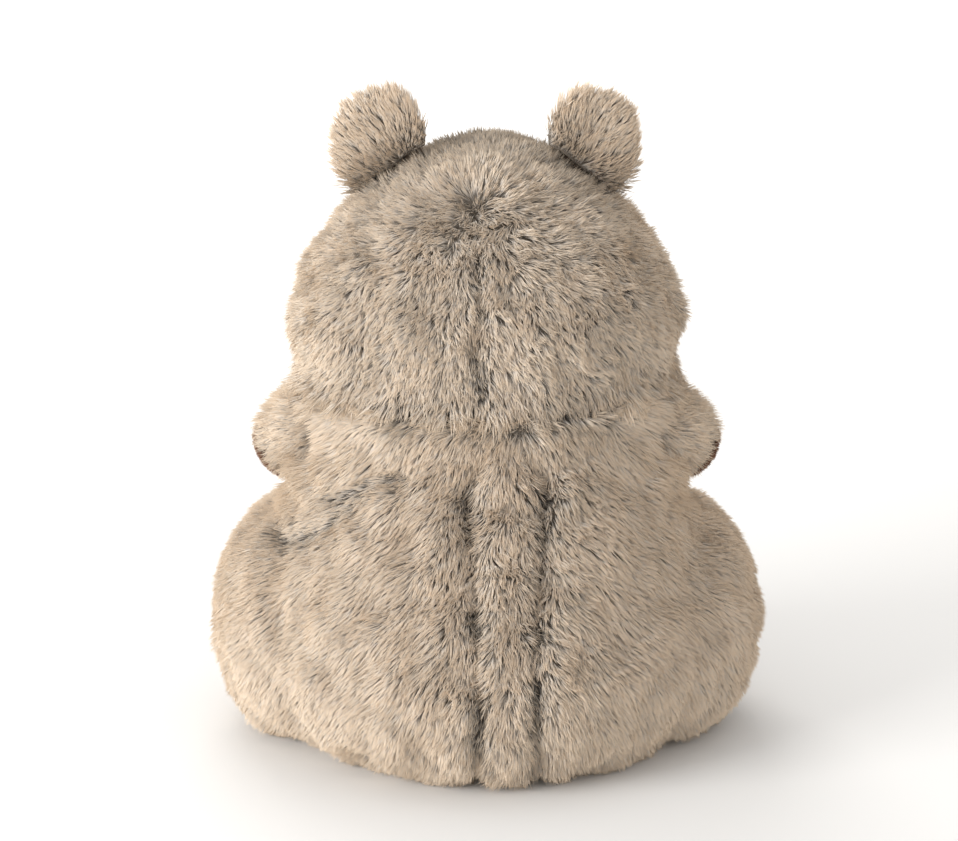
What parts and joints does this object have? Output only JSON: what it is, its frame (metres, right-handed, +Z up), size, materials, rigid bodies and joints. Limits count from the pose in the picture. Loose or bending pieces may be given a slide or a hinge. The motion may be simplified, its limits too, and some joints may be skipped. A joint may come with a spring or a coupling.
{
  "type": "plush quokka",
  "caption": "Seated pear-shaped plush quokka of long-pile fur fabric, with round folding ears, a head that turns, stubby swinging arms and feet that lift.",
  "frame": {"origin": "on the floor under the middle of the seated toy's bounding box", "axes": "+Z up, -Y the way the face looks, +X the toy's own left"},
  "size_m": [0.246, 0.2394, 0.2921],
  "materials": {
    "fur": "matte",
    "pale_fur": "matte",
    "brown_pile": "matte",
    "wadding": "matte",
    "pouch_cotton": "matte",
    "dark_thread": "matte",
    "black_gloss": "gloss",
    "washer_plastic": "satin"
  },
  "bodies": {
    "torso": {"base_panel": "fur", "pellet_pouch": "pouch_cotton", "body_filling": "wadding", "body_back_left": "fur", "body_back_right": "fur", "centre_back_panel": "fur", "belly_panel": "pale_fur", "left_haunch": "fur", "right_haunch": "fur"},
    "head": {"head_filling": "wadding", "head_back_left": "fur", "head_back_right": "fur", "face_panel": "fur", "muzzle": "pale_fur", "nose": "black_gloss", "mouth_stitch": "dark_thread", "left_eye": "black_gloss", "right_eye": "black_gloss", "left_eye_washer": "washer_plastic", "right_eye_washer": "washer_plastic"},
    "left_ear": {"left_ear_back": "fur", "left_ear_lining": "brown_pile"},
    "right_ear": {"right_ear_back": "fur", "right_ear_lining": "brown_pile"},
    "left_arm": {"left_arm": "fur", "left_paw_pad": "brown_pile"},
    "right_arm": {"right_arm": "fur", "right_paw_pad": "brown_pile"},
    "left_foot": {"left_foot": "fur", "left_sole": "brown_pile"},
    "right_foot": {"right_foot": "fur", "right_sole": "brown_pile"}
  },
  "joints": [
    {"name": "head_turn", "type": "hinge", "parent": "torso", "child": "head", "pos_m": [0, 0.01383, 0.164], "axis": [0, 0, 1], "range_deg": [-12, 12], "stiffness_Nm_per_rad": 0.3},
    {"name": "left_ear_fold", "type": "hinge", "parent": "head", "child": "left_ear", "pos_m": [0.04016, 0.01181, 0.25525], "axis": [0.8384, 0, -0.545], "range_deg": [-25, 25], "stiffness_Nm_per_rad": 0.005},
    {"name": "right_ear_fold", "type": "hinge", "parent": "head", "child": "right_ear", "pos_m": [-0.04016, 0.01181, 0.25525], "axis": [0.8384, 0, 0.545], "range_deg": [-25, 25], "stiffness_Nm_per_rad": 0.005},
    {"name": "left_arm_swing", "type": "hinge", "parent": "torso", "child": "left_arm", "pos_m": [0.07389, 0.01852, 0.144], "axis": [-0.7193, -0.6947, 0], "range_deg": [-15, 25], "stiffness_Nm_per_rad": 0.02},
    {"name": "right_arm_swing", "type": "hinge", "parent": "torso", "child": "right_arm", "pos_m": [-0.07389, 0.01852, 0.144], "axis": [-0.7193, 0.6947, 0], "range_deg": [-15, 25], "stiffness_Nm_per_rad": 0.02},
    {"name": "left_foot_lift", "type": "hinge", "parent": "torso", "child": "left_foot", "pos_m": [0.062, -0.06017, 0.0192], "axis": [-0.9781, -0.2079, 0], "range_deg": [0, 18], "stiffness_Nm_per_rad": 0.03},
    {"name": "right_foot_lift", "type": "hinge", "parent": "torso", "child": "right_foot", "pos_m": [-0.062, -0.06017, 0.0192], "axis": [-0.9781, 0.2079, 0], "range_deg": [0, 18], "stiffness_Nm_per_rad": 0.03}
  ]
}
